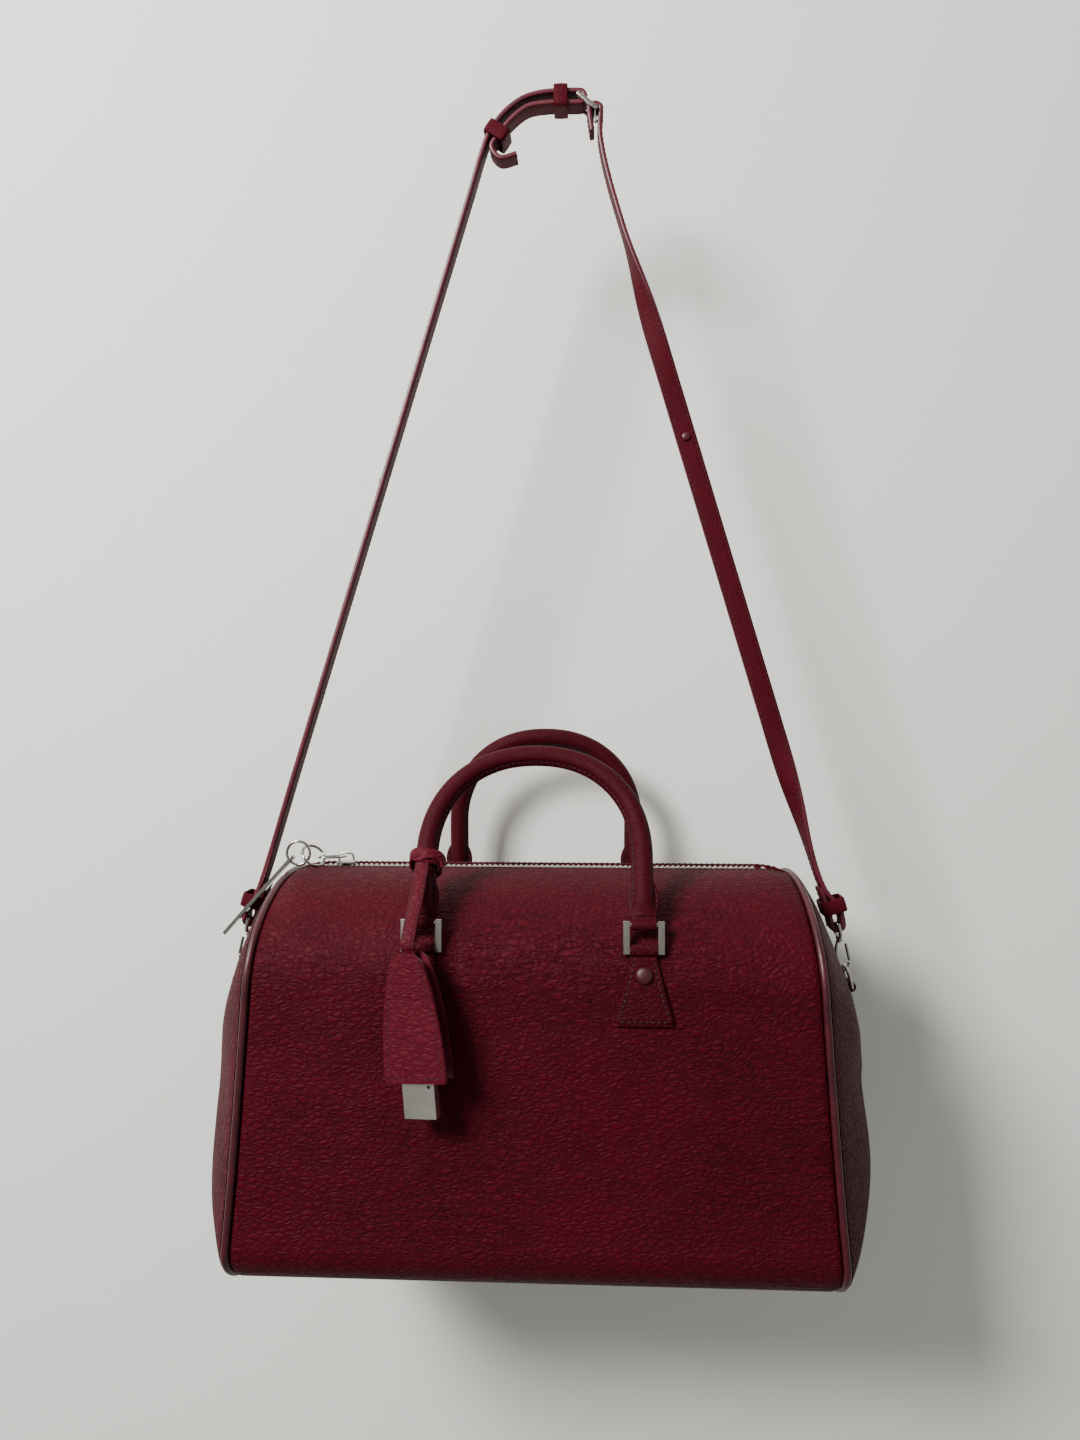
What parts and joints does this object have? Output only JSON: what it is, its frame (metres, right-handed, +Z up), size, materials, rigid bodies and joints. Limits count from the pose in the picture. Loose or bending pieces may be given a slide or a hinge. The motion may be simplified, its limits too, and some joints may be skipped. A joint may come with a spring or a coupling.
{
  "type": "boston bag",
  "caption": "Small structured duffle handbag in grained leather with two rolled handles, a top zip, a key bell with padlock and a clip-on shoulder strap that it hangs by.",
  "frame": {"origin": "hanging point: inner face of the shoulder strap at its apex, in the bag's middle plane", "axes": "+Z up, +X to the right seen from the front, the bag's front faces -Y"},
  "size_m": [0.3603, 0.1881, 0.6498],
  "materials": {
    "grained_leather": "burgundy pebbled calf leather with a satin sheen",
    "smooth_leather": "burgundy smooth leather with painted edges, satin",
    "lining_cloth": "matt woven lining",
    "stiffener_board": "fibre board covered with lining cloth",
    "zip_tape": "woven burgundy zip tape",
    "nickel": "satin nickel-plated metal"
  },
  "bodies": {
    "strap": {"strap_long": "smooth_leather", "strap_short": "smooth_leather", "end_keeper_left": "smooth_leather", "end_keeper_right": "smooth_leather", "top_keeper_left": "smooth_leather", "top_keeper_right": "smooth_leather", "buckle_frame": "nickel", "strap_stud_left": "smooth_leather", "strap_stud_right": "smooth_leather", "snap_hook_left": "nickel", "snap_hook_right": "nickel"},
    "gate_left": {"hook_gate_left": "nickel"},
    "gate_right": {"hook_gate_right": "nickel"},
    "bag": {"front_panel": "grained_leather", "back_panel": "grained_leather", "base_panel": "grained_leather", "base_board": "stiffener_board", "lining": "lining_cloth", "gusset_left": "grained_leather", "gusset_right": "grained_leather", "piping_left": "smooth_leather", "piping_right": "smooth_leather", "gusset_tab_left": "smooth_leather", "gusset_tab_right": "smooth_leather", "zip_tape_front": "zip_tape", "zip_tape_back": "zip_tape", "zip_teeth_front": "nickel", "zip_teeth_back": "nickel", "zip_stop_left": "nickel", "zip_stop_right": "nickel", "handle_tab_front_left": "smooth_leather", "handle_tab_front_right": "smooth_leather", "handle_tab_back_left": "smooth_leather", "handle_tab_back_right": "smooth_leather", "handle_stud_front_left": "smooth_leather", "handle_stud_front_right": "smooth_leather", "handle_stud_back_left": "smooth_leather", "handle_stud_back_right": "smooth_leather"},
    "d_ring_left_body": {"d_ring_left": "nickel"},
    "d_ring_right_body": {"d_ring_right": "nickel"},
    "front_rings": {"handle_ring_front_left": "nickel", "handle_ring_front_right": "nickel"},
    "back_rings": {"handle_ring_back_left": "nickel", "handle_ring_back_right": "nickel"},
    "front_handle": {"handle_front": "smooth_leather", "clochette_loop": "smooth_leather"},
    "back_handle": {"handle_back": "smooth_leather"},
    "clochette": {"clochette_strap": "smooth_leather", "padlock_body": "nickel", "padlock_shackle": "nickel"},
    "bell": {"bell_front": "smooth_leather", "bell_back": "smooth_leather"},
    "slider": {"zip_slider": "nickel"},
    "pull_chain": {"pull_link": "nickel", "pull_ring_small": "nickel", "pull_ring_large": "nickel"},
    "pull_bar": {"pull_bar": "nickel"}
  },
  "joints": [
    {"name": "bag_swing", "type": "hinge", "parent": "strap", "child": "bag", "pos_m": [0, 0, -0.49041], "axis": [1, 0, 0], "range_deg": [0, 32]},
    {"name": "gate_left_open", "type": "hinge", "parent": "strap", "child": "gate_left", "pos_m": [-0.17273, 0, -0.4754], "axis": [0, -1, 0], "range_deg": [0, 12], "stiffness_Nm_per_rad": 0.002},
    {"name": "d_ring_left_tilt", "type": "hinge", "parent": "bag", "child": "d_ring_left_body", "pos_m": [-0.17462, 0, -0.49892], "axis": [0, -1, 0], "range_deg": [0, 1.2]},
    {"name": "gate_right_open", "type": "hinge", "parent": "strap", "child": "gate_right", "pos_m": [0.17273, 0, -0.4754], "axis": [0, 1, 0], "range_deg": [0, 12], "stiffness_Nm_per_rad": 0.002},
    {"name": "d_ring_right_tilt", "type": "hinge", "parent": "bag", "child": "d_ring_right_body", "pos_m": [0.17462, 0, -0.49892], "axis": [0, 1, 0], "range_deg": [0, 1.2]},
    {"name": "front_ring_fold", "type": "hinge", "parent": "bag", "child": "front_rings", "pos_m": [0, -0.0777, -0.4645], "axis": [1, 0, 0], "range_deg": [0, 36]},
    {"name": "front_handle_fold", "type": "hinge", "parent": "front_rings", "child": "front_handle", "pos_m": [0, -0.07645, -0.452], "axis": [1, 0, 0], "range_deg": [0, 115]},
    {"name": "back_ring_fold", "type": "hinge", "parent": "bag", "child": "back_rings", "pos_m": [0, 0.0777, -0.4645], "axis": [-1, 0, 0], "range_deg": [0, 36]},
    {"name": "back_handle_fold", "type": "hinge", "parent": "back_rings", "child": "back_handle", "pos_m": [0, 0.07645, -0.452], "axis": [-1, 0, 0], "range_deg": [0, 115]},
    {"name": "clochette_hang", "type": "hinge", "parent": "front_handle", "child": "clochette", "pos_m": [0, -0.07307, -0.4226], "axis": [1, 0, 0], "range_deg": [-175, 0]},
    {"name": "bell_slide", "type": "slide", "parent": "clochette", "child": "bell", "axis": [-0.0837, 0, 0.9965], "range_m": [0, 0.0075]},
    {"name": "zip_slide", "type": "slide", "parent": "bag", "child": "slider", "axis": [1, 0, 0], "range_m": [0, 0.2]},
    {"name": "pull_lift", "type": "hinge", "parent": "slider", "child": "pull_chain", "pos_m": [-0.112, 0, -0.4284], "axis": [0, 1, 0], "range_deg": [0, 161]},
    {"name": "pull_bar_turn", "type": "hinge", "parent": "pull_chain", "child": "pull_bar", "pos_m": [-0.137, -0.0116, -0.4251], "axis": [0, 1, 0], "range_deg": [0, 71]}
  ],
  "couplings": [
    {"joint": "front_ring_fold", "follows": "front_handle_fold", "ratio": 0.3},
    {"joint": "back_ring_fold", "follows": "back_handle_fold", "ratio": 0.3},
    {"joint": "clochette_hang", "follows": "front_handle_fold", "ratio": -1.3},
    {"joint": "pull_lift", "follows": "zip_slide", "rad_per_m": 13.963},
    {"joint": "pull_bar_turn", "follows": "zip_slide", "rad_per_m": 6.1087}
  ]
}
